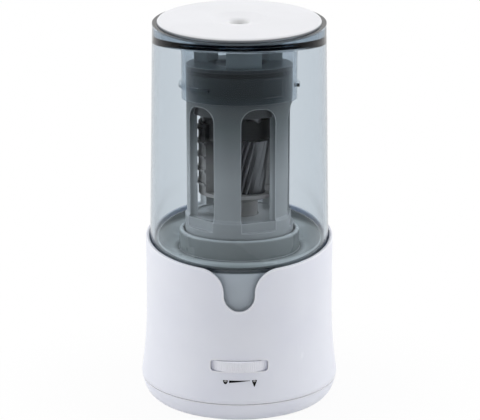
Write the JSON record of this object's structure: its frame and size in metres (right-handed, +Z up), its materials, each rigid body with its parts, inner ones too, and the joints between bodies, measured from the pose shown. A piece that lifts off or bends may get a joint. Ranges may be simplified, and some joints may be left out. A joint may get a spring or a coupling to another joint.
{
  "type": "pencil sharpener",
  "caption": "Battery pencil sharpener: white tapered base with a point-setting thumbwheel, smoked clear shavings container with a slanted white lid, and a caged helical cutter inside.",
  "frame": {"origin": "on the floor under the middle of the base", "axes": "+Z up along the pencil axis, front with the thumbwheel and notch towards -Y, +X to the right"},
  "size_m": [0.085, 0.085, 0.1668],
  "materials": {
    "white_shell": "satin",
    "white_lid": "satin",
    "smoked_clear": "clear",
    "grey_plastic": "satin",
    "dark_plastic": "satin",
    "black_plastic": "satin",
    "wheel_plastic": "satin",
    "gear_plastic": "satin",
    "cutter_steel": "ground",
    "bright_steel": "plain",
    "magnet_iron": "matt",
    "bush_brass": "plain",
    "contact_metal": "bright",
    "cell_sleeve": "satin",
    "foot_rubber": "matt"
  },
  "bodies": {
    "base": {"base_housing": "white_shell", "battery_cell_1": "cell_sleeve", "battery_cell_2": "cell_sleeve", "battery_cell_3": "cell_sleeve", "battery_cell_4": "cell_sleeve", "battery_tray_left": "gear_plastic", "battery_tray_right": "gear_plastic", "bottom_cover": "white_shell", "cage": "grey_plastic", "cage_head": "dark_plastic", "chassis": "white_shell", "cover_screws": "bright_steel", "deck": "grey_plastic", "deck_screws": "bright_steel", "idler_pin": "bright_steel", "interlock_switch": "black_plastic", "motor_can": "bright_steel", "motor_end_cap": "black_plastic", "motor_magnets": "magnet_iron", "motor_screws": "bright_steel", "output_bush": "bush_brass", "pencil_guide": "black_plastic", "press_spring": "bright_steel", "ring_gear": "black_plastic", "rubber_feet": "foot_rubber", "start_switch": "black_plastic", "stop_bracket": "gear_plastic", "top_contact_left": "contact_metal", "top_contact_right": "contact_metal", "wheel_clip": "bright_steel", "wheel_pin": "bright_steel"},
    "container": {"shavings_cup": "smoked_clear", "lid_disc": "white_lid"},
    "carrier": {"cutter_carrier": "black_plastic", "cutter_axle": "bright_steel", "output_gear": "gear_plastic"},
    "cutter": {"helical_cutter": "cutter_steel", "cutter_pinion": "cutter_steel"},
    "idler": {"compound_gear": "gear_plastic"},
    "rotor": {"motor_shaft": "bright_steel", "motor_pinion": "gear_plastic", "motor_armature": "bright_steel"},
    "wheel": {"thumbwheel": "wheel_plastic"},
    "stop_press": {"press_plate": "gear_plastic"},
    "nut": {"stop_nut": "gear_plastic"},
    "stop": {"depth_stop": "bright_steel"},
    "start_plunger": {"start_button": "gear_plastic"},
    "interlock": {"interlock_pin": "gear_plastic"},
    "door": {"battery_door": "white_shell", "door_contacts": "contact_metal"}
  },
  "joints": [
    {"name": "container_lift", "type": "slide", "parent": "base", "child": "container", "axis": [0, 0, 1], "range_m": [0, 0.12]},
    {"name": "carrier_spin", "type": "hinge", "parent": "base", "child": "carrier", "pos_m": [0, 0, 0.0632], "axis": [0, 0, 1], "continuous": true},
    {"name": "cutter_spin", "type": "hinge", "parent": "carrier", "child": "cutter", "pos_m": [0.00365, -0.00607, 0.091], "axis": [0.0806, -0.1341, 0.9877], "continuous": true},
    {"name": "idler_spin", "type": "hinge", "parent": "base", "child": "idler", "pos_m": [0.01145, 0.01389, 0.0602], "axis": [0, 0, 1], "continuous": true},
    {"name": "motor_spin", "type": "hinge", "parent": "base", "child": "rotor", "pos_m": [0, 0.0175, 0.0602], "axis": [0, 0, 1], "continuous": true},
    {"name": "point_wheel", "type": "hinge", "parent": "base", "child": "wheel", "pos_m": [0, -0.0268, 0.02475], "axis": [0, 0, 1], "range_deg": [-80, 80]},
    {"name": "pencil_press", "type": "slide", "parent": "base", "child": "stop_press", "axis": [0, 0, 1], "range_m": [-0.0012, 0], "stiffness_N_per_m": 800, "springref_m": 0.002, "deforming": ["press_spring"]},
    {"name": "nut_turn", "type": "hinge", "parent": "stop_press", "child": "nut", "pos_m": [0, 0, 0.0185], "axis": [0, 0, 1], "range_deg": [-58, 58]},
    {"name": "stop_height", "type": "slide", "parent": "stop_press", "child": "stop", "axis": [0, 0, 1], "range_m": [-0.0017, 0.0017]},
    {"name": "start_press", "type": "slide", "parent": "base", "child": "start_plunger", "axis": [0, 0, 1], "range_m": [-0.0012, 0]},
    {"name": "interlock_rise", "type": "slide", "parent": "base", "child": "interlock", "axis": [0, 0, 1], "range_m": [0, 0.002]},
    {"name": "door_off", "type": "slide", "parent": "base", "child": "door", "axis": [0, 0, -1], "range_m": [0, 0.03]}
  ],
  "couplings": [
    {"joint": "idler_spin", "follows": "carrier_spin", "ratio": -4},
    {"joint": "motor_spin", "follows": "carrier_spin", "ratio": 16},
    {"joint": "cutter_spin", "follows": "carrier_spin", "ratio": -3.6923},
    {"joint": "nut_turn", "follows": "point_wheel", "ratio": -0.71795},
    {"joint": "stop_height", "follows": "point_wheel", "m_per_rad": -0.0011427},
    {"joint": "start_press", "follows": "pencil_press", "ratio": 1},
    {"joint": "interlock_rise", "follows": "container_lift", "ratio": 0.016667}
  ]
}
